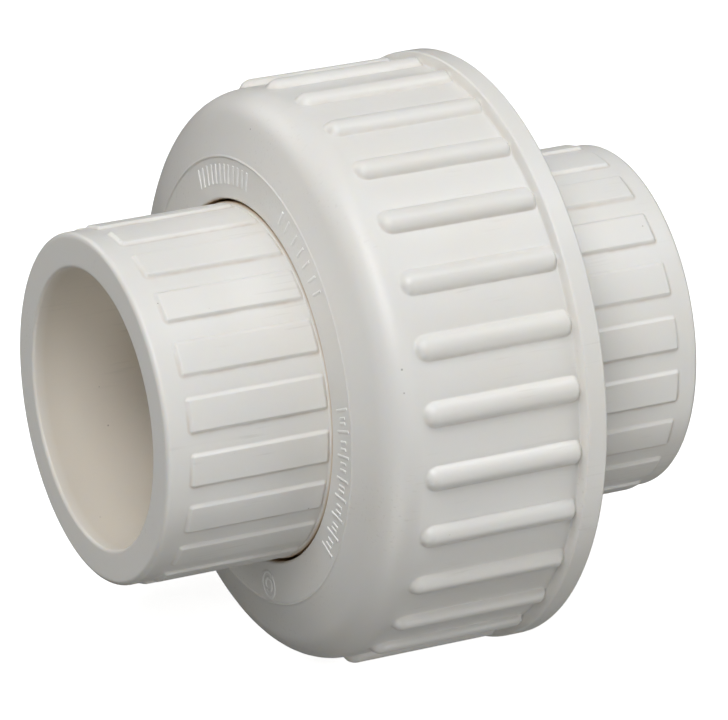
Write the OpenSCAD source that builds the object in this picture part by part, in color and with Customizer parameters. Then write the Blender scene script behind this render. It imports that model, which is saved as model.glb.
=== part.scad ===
// Pipe union for solvent-cemented plastic pipe, opened and closed by hand.
// Four pieces: tail piece, union nut, threaded end and O-ring.
// Millimetres. The pipe axis lies along X, +Z is up, and the origin is on the axis at mid-length.
// The tail piece is on the -X side and the threaded end on the +X side, drawn tight.

/* [Pipe sockets] */
// Outside diameter of the pipe that is cemented in
pipe_diameter = 33.4; // [27:0.1:42]
// Wall of that pipe: the stop in each socket stands in by this much
pipe_wall = 3.4; // [2.5:0.1:4.5]
// Radial room between pipe and socket for the cement
socket_clearance = 0.1; // [0.05:0.01:0.2]
// Depth of each socket, from its mouth to the stop
socket_depth = 22.2; // [16:0.1:28]
// Width of the bevel at each socket's mouth
mouth_bevel = 0.4; // [0.2:0.05:0.8]

/* [Barrels] */
// Wall of each barrel around its socket
barrel_wall = 4.25; // [3.4:0.05:5.2]
// Length of each barrel outside the nut
barrel_length = 20.6; // [16:0.1:30]
// Bevel around the outer edge of each barrel's end face
barrel_edge = 0.6; // [0.3:0.05:1]
// Number of raised grip pads around each barrel
pad_count = 20; // [12:1:24]
// Width of one pad at its foot, around the barrel
pad_width = 4.4; // [3:0.1:5.3]
// Height of the pads above the barrel
pad_height = 0.35; // [0.2:0.05:0.6]
// Run of the slope around each pad
pad_slope = 0.3; // [0.1:0.05:0.5]
// Plain band between a barrel's end face and its pads
pad_setback = 2.7; // [1.5:0.1:5]
// Plain band between the threaded end's pads and the nut
pad_nut_gap = 0.3; // [0.2:0.05:2]
// Height above the barrel of the tail piece's hub, which turns in the nut
hub_height = 0.45; // [0.4:0.05:1]
// Run of the slope at the front of that hub
hub_slope = 0.15; // [0.1:0.05:0.4]
// How far inside the nut's hole the hub starts
hub_recess = 0.15; // [0:0.05:0.4]
// Plain band between the tail piece's pads and that hub
pad_hub_gap = 0.05; // [0.05:0.05:1]
// Turn of the tail piece's pads about the axis
tail_pad_turn = 5.7; // [0:0.1:17.9]
// Turn of the threaded end's pads about the axis
end_pad_turn = 7.8; // [0:0.1:17.9]

/* [Union nut] */
// Length of the nut
nut_length = 28.8; // [24:0.1:36]
// Wall of the nut outside its thread
nut_wall = 5.2; // [4.3:0.1:6.3]
// Height of the plain ring at the nut's rear above the nut's side
ring_height = 1.4; // [1.2:0.05:3]
// Length of that ring
ring_length = 2.6; // [1.5:0.1:4]
// Radius of the large round between the nut's face and its side
shoulder_radius = 5.2; // [3.5:0.1:6.3]
// Width of the sloped band between the nut's flat face and that round
face_slope = 2; // [1:0.1:2.5]
// How far that band falls back
face_fall = 0.65; // [0.2:0.05:1.2]
// Radial room between the tail piece's hub and the hole in the nut
hole_clearance = 0.35; // [0.2:0.05:0.8]
// Thickness of the nut's front wall
front_wall = 4.4; // [3.5:0.1:6]
// Height of the fine raised circle on the nut's face
circle_height = 0.12; // [0.05:0.01:0.3]
// Number of grip ribs around the nut
rib_count = 28; // [16:1:34]
// Radius of the round ribs
rib_radius = 1.65; // [1.2:0.05:2]
// Height of the ribs above the nut's side
rib_height = 1; // [0.5:0.05:1.15]
// Distance from the nut's front to the front ends of the ribs
rib_setback = 5.6; // [4.5:0.1:8]
// Turn of the ribs about the axis
rib_turn = 5.8; // [0:0.1:12.8]

/* [Thread] */
// Height of each thread ridge
thread_depth = 1.5; // [1:0.1:1.8]
// Travel in one turn
thread_pitch = 4; // [3.4:0.1:4.8]
// Radial room between the two threads
thread_clearance = 0.3; // [0.25:0.05:0.45]
// Axial room between the two threads, on each side of a ridge
flank_gap = 0.4; // [0.2:0.05:0.5]
// Segments in one turn of the modelled thread
thread_segments = 48; // [36:12:72]

/* [Collar and seal] */
// Thickness of the tail piece's collar
collar_thickness = 5.4; // [4:0.1:6.5]
// How far the collar stands out past the hole in the nut
collar_lip = 5.35; // [4:0.05:6]
// Radial room between the collar and the nut's thread
collar_clearance = 0.5; // [0.3:0.05:1]
// Axial room between the collar and the nut's front wall
swivel_gap = 0.1; // [0.05:0.01:0.2]
// Gap between the two sealing faces when tight
face_gap = 0.2; // [0.1:0.05:0.4]
// Thickness of the O-ring before it is squeezed
oring_section = 3.53; // [2.9:0.01:4.3]
// Squeezed height of the O-ring, as a share of its thickness
oring_squeeze = 0.8; // [0.7:0.01:0.9]
// Flat land between the water and the O-ring's groove
seal_land = 4.35; // [3:0.05:5.3]
// Room on each side of the O-ring in its groove
groove_side_room = 0.4; // [0.3:0.05:0.8]

/* [Hidden] */
$fn = 96;

// Small bevels and laps that are the same everywhere
small_bevel = 0.3;
edge_bevel = 0.5;
neck_bevel = 0.6;
pad_sink = 0.5;
rib_lap = 0.1;

// Radii, from the water outwards
waterway_radius = pipe_diameter / 2 - pipe_wall;
socket_radius = pipe_diameter / 2 + socket_clearance;
barrel_radius = socket_radius + barrel_wall;
pad_radius = barrel_radius + pad_height;
hub_radius = barrel_radius + hub_height;
hole_radius = hub_radius + hole_clearance;
collar_radius = hole_radius + collar_lip;
nut_crest = collar_radius + collar_clearance;
nut_root = nut_crest + thread_depth;
end_crest = nut_root - thread_clearance;
end_root = end_crest - thread_depth;
nut_radius = nut_root + nut_wall;
ring_radius = nut_radius + ring_height;

// Positions along X
overall_length = 2 * barrel_length + nut_length;
tail_mouth = -overall_length / 2;
end_mouth = overall_length / 2;
nut_front = tail_mouth + barrel_length;
hub_front = nut_front + hub_recess;
nut_rear = nut_front + nut_length;
nut_shoulder = nut_front + front_wall;
collar_front = nut_shoulder + swivel_gap;
seal_face = collar_front + collar_thickness;
thread_face = seal_face + face_gap;
thread_back_recess = 2.4;
thread_back = nut_rear - thread_back_recess;

// The round between the nut's face and side, and where the sloped band meets it
round_x = nut_front + face_fall + shoulder_radius;
round_r = nut_radius - shoulder_radius;
face_radius = round_r - face_slope;
face_dx = round_x - nut_front;
face_span = sqrt(face_dx * face_dx + face_slope * face_slope);
face_angle = atan2(face_slope, face_dx) + asin(shoulder_radius / face_span);
touch_length = sqrt(face_span * face_span - shoulder_radius * shoulder_radius);
touch_x = nut_front + touch_length * cos(face_angle);
touch_r = face_radius + touch_length * sin(face_angle);
round_lap = 1;
circle_half_width = 0.2;

// The ring at the nut's rear
ring_front = nut_rear - ring_length;
ring_wall = 0.35;

// Thread: the two ridges lie half a pitch apart, and fill the length behind the collar
flank = tan(30);
ridge_top = thread_pitch / 2 - (thread_depth - thread_clearance) * flank - flank_gap;
ridge_base = ridge_top + 2 * thread_depth * flank;
thread_run_in = 0.9;
thread_run_out = 0.7;
end_ridge_start = thread_face + thread_run_in + ridge_base / 2;
nut_ridge_start = end_ridge_start + thread_pitch / 2;
ridge_room = thread_back - thread_run_out - ridge_base / 2 - end_ridge_start;
thread_turns = floor(4 * ridge_room / thread_pitch) / 4;
ridge_sink = 0.35;
ridge_fade = 0.15;
ridge_tail = 0.05;

// O-ring and groove
groove_half_width = oring_section / 2 + groove_side_room;
oring_radius = waterway_radius + seal_land + groove_half_width;
oring_height = oring_section * oring_squeeze;
groove_floor = seal_face + oring_height;

white = [0.88, 0.88, 0.86];
cream = [0.84, 0.84, 0.81];
black = [0.08, 0.08, 0.08];

// Lays a shape that was drawn around Z along X
module along_x() {
    rotate([0, 90, 0])
    children();
}

// Turns the profile around the pipe axis; each point is [radius, position along X]
module turned() {
    along_x()
    rotate_extrude()
    children();
}

// The ridges of one thread: a helix with a flat top and sloped flanks that fades out at both ends.
// A positive side stands the ridge outwards from the given radius, a negative one inwards.
module thread_ridge(start_x, radius, side) {
    steps = round(thread_turns * thread_segments);
    fade_steps = max(1, round(ridge_fade * thread_segments));
    function share(i) = min(1, i / fade_steps, (steps - i) / fade_steps);
    function top(i) = radius + side * (thread_depth * share(i) - ridge_tail * (1 - share(i)));
    function turn(i) = i * 360 / thread_segments;
    function at(i, r, dx) = [
        start_x + thread_pitch * i / thread_segments + dx,
        r * cos(turn(i)),
        r * sin(turn(i))
    ];
    foot = radius - side * ridge_sink;
    foot_half = ridge_base / 2 + ridge_sink * flank;
    points = [
        for (i = [0:steps])
        for (k = [0:3])
        k == 0 ? at(i, foot, -foot_half) :
        k == 1 ? at(i, top(i), -ridge_top / 2) :
        k == 2 ? at(i, top(i), ridge_top / 2) :
        at(i, foot, foot_half)
    ];
    sides = [
        for (i = [0:steps - 1])
        for (k = [0:3])
        for (half = [0:1])
        half == 0
            ? [4 * i + k, 4 * i + (k + 1) % 4, 4 * (i + 1) + k]
            : [4 * i + (k + 1) % 4, 4 * (i + 1) + (k + 1) % 4, 4 * (i + 1) + k]
    ];
    ends = [[3, 2, 1, 0], [4 * steps, 4 * steps + 1, 4 * steps + 2, 4 * steps + 3]];
    faces = concat(sides, ends);
    flipped = [for (f = faces) [for (j = [len(f) - 1:-1:0]) f[j]]];
    polyhedron(points = points, faces = side > 0 ? faces : flipped, convexity = 10);
}

// The raised pads around a barrel, between two positions along X
module pads(from_x, to_x, turn) {
    under = barrel_radius - pad_sink;
    spread = pad_slope * pad_sink / pad_height;
    half = pad_width / 2;
    margin = 2;
    intersection() {
        turned()
        polygon([
            [under, from_x - spread],
            [pad_radius, from_x + pad_slope],
            [pad_radius, to_x - pad_slope],
            [under, to_x + spread]
        ]);
        for (i = [0:pad_count - 1])
        rotate([turn + i * 360 / pad_count, 0, 0])
        translate([from_x - margin, 0, 0])
        rotate([90, 0, 90])
        linear_extrude(height = to_x - from_x + 2 * margin)
        polygon([
            [-half - spread, under - small_bevel],
            [-half + pad_slope, pad_radius],
            [-half + pad_slope, pad_radius + small_bevel],
            [half - pad_slope, pad_radius + small_bevel],
            [half - pad_slope, pad_radius],
            [half + spread, under - small_bevel]
        ]);
    }
}

// Tail piece: socket barrel, pads, the hub inside the nut and the collar that the nut pulls on
module tail_piece() {
    color(white)
    union() {
        turned()
        polygon([
            [socket_radius + mouth_bevel, tail_mouth],
            [barrel_radius - barrel_edge, tail_mouth],
            [barrel_radius, tail_mouth + barrel_edge],
            [barrel_radius, hub_front],
            [hub_radius, hub_front + hub_slope],
            [hub_radius, collar_front - neck_bevel],
            [hub_radius + neck_bevel, collar_front],
            [collar_radius - edge_bevel, collar_front],
            [collar_radius, collar_front + edge_bevel],
            [collar_radius, seal_face - edge_bevel],
            [collar_radius - edge_bevel, seal_face],
            [waterway_radius + edge_bevel, seal_face],
            [waterway_radius, seal_face - edge_bevel],
            [waterway_radius, tail_mouth + socket_depth],
            [socket_radius, tail_mouth + socket_depth],
            [socket_radius, tail_mouth + mouth_bevel]
        ]);
        pads(tail_mouth + pad_setback, hub_front - pad_hub_gap, tail_pad_turn);
    }
}

// Outline of the nut, with its large round and the fine raised circle on its face
module nut_outline() {
    union() {
        polygon([
            [hole_radius, nut_front + small_bevel],
            [hole_radius + small_bevel, nut_front],
            [face_radius - 2 * circle_half_width, nut_front],
            [face_radius - 1.5 * circle_half_width, nut_front - circle_height],
            [face_radius - 0.5 * circle_half_width, nut_front - circle_height],
            [face_radius, nut_front],
            [touch_r, touch_x],
            [touch_r, round_x],
            [nut_radius, round_x],
            [nut_radius, ring_front - ring_wall],
            [ring_radius - small_bevel, ring_front],
            [ring_radius, ring_front + small_bevel],
            [ring_radius, nut_rear - small_bevel],
            [ring_radius - small_bevel, nut_rear],
            [nut_root + edge_bevel, nut_rear],
            [nut_root, nut_rear - edge_bevel],
            [nut_root, nut_shoulder + edge_bevel],
            [nut_root - edge_bevel, nut_shoulder],
            [hole_radius + edge_bevel, nut_shoulder],
            [hole_radius, nut_shoulder - edge_bevel]
        ]);
        intersection() {
            translate([round_r, round_x])
            circle(r = shoulder_radius);
            translate([(round_r + touch_r) / 2, round_x - 2 * shoulder_radius])
            square([shoulder_radius, 2 * shoulder_radius + round_lap]);
        }
    }
}

// One grip rib: a round bar with ball ends, lying along X above the axis
module rib() {
    from_x = nut_front + rib_setback;
    length = ring_front + rib_lap - from_x;
    translate([from_x, 0, nut_radius + rib_height - rib_radius])
    along_x()
    rotate_extrude()
    intersection() {
        union() {
            translate([0, rib_radius])
            circle(r = rib_radius);
            translate([0, rib_radius])
            square([rib_radius, length - 2 * rib_radius]);
            translate([0, length - rib_radius])
            circle(r = rib_radius);
        }
        translate([0, -rib_radius])
        square([2 * rib_radius, length + 2 * rib_radius]);
    }
}

// Union nut: domed front wall, ribs, rear ring, inner shoulder and female thread
module union_nut() {
    color(white)
    union() {
        turned()
        nut_outline();
        for (i = [0:rib_count - 1])
        rotate([rib_turn + i * 360 / rib_count, 0, 0])
        rib();
        thread_ridge(nut_ridge_start, nut_root, -1);
    }
}

// Threaded end: socket barrel, pads, male thread and the O-ring groove in its face
module threaded_end() {
    color(cream)
    union() {
        turned()
        polygon([
            [waterway_radius + edge_bevel, thread_face],
            [oring_radius - groove_half_width, thread_face],
            [oring_radius - groove_half_width, groove_floor],
            [oring_radius + groove_half_width, groove_floor],
            [oring_radius + groove_half_width, thread_face],
            [end_root - edge_bevel, thread_face],
            [end_root, thread_face + edge_bevel],
            [end_root, thread_back - edge_bevel],
            [end_root - edge_bevel, thread_back],
            [barrel_radius + neck_bevel, thread_back],
            [barrel_radius, thread_back + neck_bevel],
            [barrel_radius, end_mouth - barrel_edge],
            [barrel_radius - barrel_edge, end_mouth],
            [socket_radius + mouth_bevel, end_mouth],
            [socket_radius, end_mouth - mouth_bevel],
            [socket_radius, end_mouth - socket_depth],
            [waterway_radius, end_mouth - socket_depth],
            [waterway_radius, thread_face + edge_bevel]
        ]);
        pads(nut_rear + pad_nut_gap, end_mouth - pad_setback, end_pad_turn);
        thread_ridge(end_ridge_start, end_root, 1);
    }
}

// O-ring, squeezed flat between the groove's floor and the tail piece's face
module o_ring() {
    color(black)
    turned()
    intersection() {
        translate([oring_radius, seal_face + oring_height / 2])
        circle(d = oring_section);
        translate([oring_radius - oring_section, seal_face])
        square([2 * oring_section, oring_height]);
    }
}

tail_piece();
union_nut();
threaded_end();
o_ring();
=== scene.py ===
import math

import bmesh
import bpy
from mathutils import Matrix, Vector


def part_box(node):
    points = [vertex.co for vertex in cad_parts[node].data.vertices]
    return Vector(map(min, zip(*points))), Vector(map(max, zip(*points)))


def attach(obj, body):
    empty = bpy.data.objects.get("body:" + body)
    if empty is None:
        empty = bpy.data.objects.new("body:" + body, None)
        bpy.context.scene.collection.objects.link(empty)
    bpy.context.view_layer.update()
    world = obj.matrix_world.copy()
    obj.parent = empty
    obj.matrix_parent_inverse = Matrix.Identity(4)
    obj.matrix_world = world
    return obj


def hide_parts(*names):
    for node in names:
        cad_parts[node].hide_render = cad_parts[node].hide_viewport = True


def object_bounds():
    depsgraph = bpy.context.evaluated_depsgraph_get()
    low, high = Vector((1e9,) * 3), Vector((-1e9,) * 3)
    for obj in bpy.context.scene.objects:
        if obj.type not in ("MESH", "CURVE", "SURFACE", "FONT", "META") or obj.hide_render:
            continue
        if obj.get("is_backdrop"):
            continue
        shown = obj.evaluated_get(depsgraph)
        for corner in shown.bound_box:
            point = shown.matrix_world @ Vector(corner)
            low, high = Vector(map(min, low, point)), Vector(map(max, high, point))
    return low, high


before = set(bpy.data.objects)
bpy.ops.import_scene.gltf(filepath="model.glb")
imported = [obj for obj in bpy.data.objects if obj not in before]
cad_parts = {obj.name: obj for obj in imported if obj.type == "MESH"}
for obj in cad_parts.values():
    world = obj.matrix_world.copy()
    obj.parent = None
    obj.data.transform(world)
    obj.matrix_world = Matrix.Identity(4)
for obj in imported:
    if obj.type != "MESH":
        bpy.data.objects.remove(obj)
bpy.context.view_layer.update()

bl_info = {
    "name": "Pipe Union",
    "version": (1, 0, 0),
    "blender": (4, 5, 0),
    "location": "View3D > Sidebar > Pipe Union",
    "description": "Builds the looks of a moulded plastic pipe union around its packed model",
    "category": "Object",
}

MM = 0.001

TAIL_LOW, TAIL_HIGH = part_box("tail_piece")
NUT_LOW, NUT_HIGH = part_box("union_nut")
END_LOW, END_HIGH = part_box("threaded_end")
RING_LOW, RING_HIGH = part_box("o_ring")


def length(name, description, default, low=0.0, high=0.1):
    """A size in metres, shown in the scene's length unit."""
    return bpy.props.FloatProperty(
        name=name, description=description, default=default, min=low, max=high,
        precision=5, unit="LENGTH", subtype="DISTANCE",
    )


def angle(name, description, default):
    """An angle, given in degrees and kept in radians."""
    return bpy.props.FloatProperty(
        name=name, description=description, default=math.radians(default),
        unit="ROTATION", subtype="ANGLE",
    )


def colour(name, description, default):
    """A colour, given as three linear shares."""
    return bpy.props.FloatVectorProperty(
        name=name, description=description, default=default, size=3,
        min=0.0, max=1.0, subtype="COLOR",
    )


class BarrelSizes(bpy.types.PropertyGroup):
    """Sizes of the two socket barrels and their grip pads."""

    waterway: length("Waterway radius", "Radius of the passage behind each socket", 13.3 * MM)
    socket: length("Socket radius", "Radius of the bore that takes the pipe", 16.8 * MM)
    socket_depth: length("Socket depth", "From the mouth to the stop", 22.2 * MM)
    barrel: length("Barrel radius", "Radius of the barrel between its pads", 21.05 * MM)
    mouth_edge: length("Mouth edge", "Rounding of the bore's edge at the mouth", 0.4 * MM)
    barrel_edge: length("Outer edge", "Rounding of the barrel's outer edge", 0.65 * MM)
    pad_count: bpy.props.IntProperty(
        name="Pads", description="Grip pads around each barrel", default=20, min=6, max=40)
    pad_width: length("Pad width", "Width of a pad at its foot", 4.4 * MM)
    pad_height: length("Pad height", "Height of the pads above the barrel", 0.35 * MM)
    pad_slope: length("Pad slope", "Run of the slope around a pad", 0.5 * MM)
    pad_corner: length("Pad corner", "Radius of a pad's corners at its foot", 0.55 * MM)
    tail_setback: length("Tail pad setback", "Plain band at the tail piece's mouth", 2.85 * MM)
    end_setback: length("End pad setback", "Plain band at the threaded end's mouth", 2.6 * MM)
    pad_gap: length("Pad gap", "Plain band between the threaded end's pads and the nut", 0.3 * MM)
    hub_height: length("Hub height", "Height of the tail piece's hub above the barrel", 0.45 * MM)
    hub_slope: length("Hub slope", "Run of the slope at the hub's front", 0.15 * MM)
    hub_recess: length("Hub recess", "How far inside the nut's hole the hub starts", 0.15 * MM)
    tail_turn: angle("Tail pad turn", "Turn of the tail piece's pads", 5.7)
    end_turn: angle("End pad turn", "Turn of the threaded end's pads", 7.8)
    collar_edge: length("Collar edge", "Rounding of the edges inside the nut", 0.5 * MM)
    seal_middle: length("Seal radius", "Radius of the seal's and its groove's middle line", 19.815 * MM)


class NutSizes(bpy.types.PropertyGroup):
    """Sizes of the union nut."""

    hole: length("Hole radius", "Radius of the hole that the tail piece passes", 21.85 * MM)
    root: length("Thread root", "Radius at the bottom of the nut's thread", 29.2 * MM)
    side: length("Side radius", "Radius of the nut between its ribs", 34.4 * MM)
    circle_height: length("Circle height", "Height of the fine raised circle on the face", 0.12 * MM)
    front_wall: length("Front wall", "Thickness of the front wall", 4.4 * MM)
    shoulder: length("Shoulder radius", "Round between the face and the side", 5.2 * MM)
    face_slope: length("Sloped band", "Width of the band outside the flat face", 2.0 * MM)
    face_fall: length("Fall of the band", "How far that band falls back", 0.65 * MM)
    ring_length: length("Ring length", "Length of the plain ring at the rear", 2.6 * MM)
    ring_wall: length("Ring slope", "Run of the ring's front wall", 0.35 * MM)
    rib_count: bpy.props.IntProperty(
        name="Ribs", description="Grip ribs around the nut", default=28, min=6, max=60)
    rib_radius: length("Rib radius", "Radius of the round ribs", 1.65 * MM)
    rib_height: length("Rib height", "Height of the ribs above the side", 1.0 * MM)
    rib_setback: length("Rib setback", "From the nut's front to the ribs' front ends", 5.6 * MM)
    rib_turn: angle("Rib turn", "Turn of the ribs about the axis", 5.8)
    parting_turn: angle("Parting turn", "Turn of the mould's parting line across the rear ring", 112.5)
    parting_width: length("Parting width", "Width of that line", 0.35 * MM)
    rib_fillet: length("Rib fillet", "Blend between the ribs and the side", 0.34 * MM)


class ThreadSizes(bpy.types.PropertyGroup):
    """Sizes of the two threads, and where they start at rest."""

    pitch: length("Pitch", "Travel in one turn", 4.0 * MM)
    depth: length("Depth", "Height of each ridge", 1.5 * MM)
    turns: bpy.props.FloatProperty(
        name="Turns", description="Turns of each ridge", default=3.0, min=0.5, max=6.0)
    top: length("Ridge top", "Width of a ridge at its top", 0.507 * MM)
    end_root: length("Male root", "Radius at the bottom of the male thread", 27.4 * MM)
    end_start: length("Male start", "Where the male ridge starts along X", -2.08 * MM, -0.1)
    nut_start: length("Female start", "Where the female ridge starts along X", -0.08 * MM, -0.1)
    back: length("Thread back", "Where the threaded part ends along X", 12.0 * MM)


class Finish(bpy.types.PropertyGroup):
    """Colours and gloss of the two materials."""

    pvc: colour("PVC", "Colour of the moulded plastic", (0.80, 0.79, 0.765))
    pvc_warm: colour("Warm PVC", "Colour that the plastic drifts to", (0.80, 0.775, 0.725))
    # painted highlight: the brighter colour laid on the raised marks
    painted_highlight: colour("Rubbed PVC", "Colour of the rubbed tops of the raised marks", (0.93, 0.925, 0.91))
    # painted shade: the warm darkening at the feet of pads and ribs, stronger on one side, and at the foot
    # of the rear ring
    recess: colour("Recess tint", "Tint that gathers at the feet of pads and ribs", (0.58, 0.49, 0.39))
    # painted shade and warm bounce light: the plastic inside a bore is painted darker and warmer near the
    # mouth and lighter deeper in
    bore: colour("Bore", "Colour of the plastic inside a bore, near its mouth", (0.665, 0.615, 0.540))
    deep_bore_painted_light: colour("Deep Bore", "Colour of the unworn plastic deep inside a bore", (0.81, 0.755, 0.67))
    # painted shade with some dirt: the dark brown in the narrow gap between the nut's hole and the hub
    gap: colour("Gap", "Colour deep in the gap between the nut and the tail piece", (0.55, 0.40, 0.25))
    scuff: colour("Scuffs", "Colour of the faint scuffs", (0.50, 0.47, 0.42))
    speck: colour("Specks", "Colour of the fine specks in the plastic", (0.16, 0.12, 0.09))
    rubber: colour("Rubber", "Colour of the seal", (0.022, 0.022, 0.023))
    pvc_gloss: bpy.props.FloatProperty(
        name="PVC roughness", description="Roughness of the plastic", default=0.38, min=0.05, max=1.0)


class StageSizes(bpy.types.PropertyGroup):
    """Camera and floor."""

    azimuth: angle("Azimuth", "Camera's turn round the object", -26.444)
    elevation: angle("Elevation", "Camera's height above the horizon", 17.947)
    roll: angle("Roll", "Camera's roll", -1.676)
    distance: length("Distance", "From the camera to the axis", 713.99 * MM, 0.1, 5.0)
    aim: length("Aim", "Where the camera aims along X", 0.132 * MM, -0.1, 0.1)
    lens: bpy.props.FloatProperty(
        name="Lens", description="Focal length in millimetres", default=294.7, min=10.0, max=500.0)
    shift_x: bpy.props.FloatProperty(
        name="Shift X", description="Sideways shift of the view", default=0.00817, min=-1.0, max=1.0)
    shift_y: bpy.props.FloatProperty(
        name="Shift Y", description="Upward shift of the view", default=0.00104, min=-1.0, max=1.0)
    floor: colour("Floor", "Colour of the floor", (0.95, 0.95, 0.95))


# Meshes ---------------------------------------------------------------------

def rounded(corners, step=math.radians(12), guard=0.14 * MM):
    """Closed outline through the corners, each (place along X, radius from the axis, fillet).

    A fillet becomes an arc, with a guard point on each side that keeps flat faces shaded flat.
    """
    points = []
    count = len(corners)
    for i, (x, r, fillet) in enumerate(corners):
        here = Vector((x, r))
        back = Vector(corners[i - 1][:2]) - here
        ahead = Vector(corners[(i + 1) % count][:2]) - here
        reach = (back.length, ahead.length)
        back.normalize()
        ahead.normalize()
        if fillet <= 0:
            points.append(here)
            continue
        half = back.angle(ahead) / 2
        tangent = min(fillet / math.tan(half), 0.48 * min(reach))
        radius = tangent * math.tan(half)
        centre = here + (back + ahead).normalized() * (radius / math.sin(half))
        start = here + back * tangent
        sweep = math.pi - 2 * half
        side = 1 if (start - centre).cross(here - centre) > 0 else -1
        if reach[0] > 2 * tangent + 2.5 * guard:
            points.append(here + back * (tangent + guard))
        pieces = max(2, math.ceil(sweep / step))
        for k in range(pieces + 1):
            turn = side * sweep * k / pieces
            points.append(centre + Matrix.Rotation(turn, 2) @ (start - centre))
        if reach[1] > 2 * tangent + 2.5 * guard:
            points.append(here + ahead * (tangent + guard))
    return points


def with_stations(points, radius, stations):
    """Adds points at the given places along X to the straight run that lies at this radius."""
    made = []
    count = len(points)
    for i, point in enumerate(points):
        made.append(point)
        after = points[(i + 1) % count]
        if abs(point.y - radius) > 1e-7 or abs(after.y - radius) > 1e-7:
            continue
        low, high = sorted((point.x, after.x))
        inside = [x for x in stations if low + 0.04 * MM < x < high - 0.04 * MM]
        inside.sort(reverse=after.x < point.x)
        made += [Vector((x, radius)) for x in inside]
    return made


def turned(name, outline, turns):
    """Turns a closed outline around the X axis, with a row of points at each of the turns."""
    rows = len(outline)
    columns = len(turns)
    verts = []
    for turn in turns:
        s, c = math.sin(turn), math.cos(turn)
        verts += [(p.x, -p.y * s, p.y * c) for p in outline]
    faces = []
    for i in range(columns):
        here, after = i * rows, (i + 1) % columns * rows
        for k in range(rows):
            up = (k + 1) % rows
            faces.append((here + k, here + up, after + up, after + k))
    mesh = bpy.data.meshes.new(name)
    mesh.from_pydata(verts, [], faces)
    return link(name, outward(mesh))


def outward(mesh):
    """Turns every face outwards and shades the mesh smooth."""
    shape = bmesh.new()
    shape.from_mesh(mesh)
    if shape.calc_volume(signed=True) < 0:
        bmesh.ops.reverse_faces(shape, faces=shape.faces[:])
    shape.to_mesh(mesh)
    shape.free()
    mesh.shade_smooth()
    mesh.update()
    return mesh


def link(name, data):
    """Puts the data into the scene as a new object."""
    piece = bpy.data.objects.new(name, data)
    bpy.context.scene.collection.objects.link(piece)
    return piece


def spread(count, turn, offsets, radius):
    """Turns for the rows of a repeated pattern: offsets in arc length, on both sides of each centre."""
    step = 2 * math.pi / count
    turns = set()
    for i in range(count):
        for offset in offsets:
            for side in (-1, 1):
                turns.add(round((turn + i * step + side * offset / radius) % (2 * math.pi), 9))
    turns = sorted(turns)
    kept = [turns[0]]
    for turn in turns[1:]:
        if turn - kept[-1] > 1e-6:
            kept.append(turn)
    if kept[0] + 2 * math.pi - kept[-1] < 1e-6:
        kept.pop()
    return kept


def close_steps(low, high, step):
    """Evenly spaced places from low to high, no further apart than the step."""
    pieces = max(1, math.ceil((high - low) / step - 1e-6))
    return [low + (high - low) * k / pieces for k in range(pieces + 1)]


# Node trees -----------------------------------------------------------------

class Net:
    """Builds a node tree from left to right."""

    def __init__(self, tree):
        self.tree = tree
        self.made = 0

    def add(self, kind, sockets=None, **settings):
        node = self.tree.nodes.new(kind)
        node.location = (180 * (self.made % 14), -220 * (self.made // 14))
        self.made += 1
        for key, value in settings.items():
            setattr(node, key, value)
        for key, value in (sockets or {}).items():
            self.feed(node.inputs[key], value)
        return node

    def feed(self, socket, value):
        if isinstance(value, bpy.types.NodeSocket):
            self.tree.links.new(value, socket)
        else:
            socket.default_value = value

    def math(self, operation, *values):
        node = self.add("ShaderNodeMath", operation=operation)
        for socket, value in zip(node.inputs, values):
            self.feed(socket, value)
        return node.outputs[0]

    def plus(self, first, second):
        return self.math("ADD", first, second)

    def minus(self, first, second):
        return self.math("SUBTRACT", first, second)

    def times(self, first, second):
        return self.math("MULTIPLY", first, second)

    def over(self, first, second):
        return self.math("DIVIDE", first, second)

    def length(self, first, second):
        """Length of the vector with these two parts."""
        return self.math("SQRT", self.plus(self.times(first, first), self.times(second, second)))

    def noise(self, place, scale, detail, roughness):
        node = self.add("ShaderNodeTexNoise", {
            "Vector": place, "Scale": scale, "Detail": detail, "Roughness": roughness})
        return node.outputs["Fac"]

    def blend(self, low, high, value, first=0.0, last=1.0, kind="LINEAR"):
        """Maps the value from low..high to first..last, clamped."""
        node = self.add("ShaderNodeMapRange", {0: value, 1: low, 2: high, 3: first, 4: last},
                        interpolation_type=kind, clamp=True)
        return node.outputs[0]


def new_geometry_tree(name, floats, integers=()):
    """A geometry tree with named inputs for its sizes, and a finish."""
    tree = bpy.data.node_groups.new(name, "GeometryNodeTree")
    face = tree.interface
    face.new_socket("Geometry", in_out="INPUT", socket_type="NodeSocketGeometry")
    for label in integers:
        face.new_socket(label, in_out="INPUT", socket_type="NodeSocketInt")
    for label in floats:
        face.new_socket(label, in_out="INPUT", socket_type="NodeSocketFloat")
    face.new_socket("Finish", in_out="INPUT", socket_type="NodeSocketMaterial")
    face.new_socket("Geometry", in_out="OUTPUT", socket_type="NodeSocketGeometry")
    net = Net(tree)
    return tree, net, net.add("NodeGroupInput").outputs


def close_tree(net, geometry, finish):
    """Ends a geometry tree in Realize Instances and Set Material."""
    real = net.add("GeometryNodeRealizeInstances", {"Geometry": geometry})
    done = net.add("GeometryNodeSetMaterial", {"Geometry": real.outputs[0], "Material": finish})
    end = net.add("NodeGroupOutput")
    net.tree.links.new(done.outputs[0], end.inputs[0])


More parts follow.
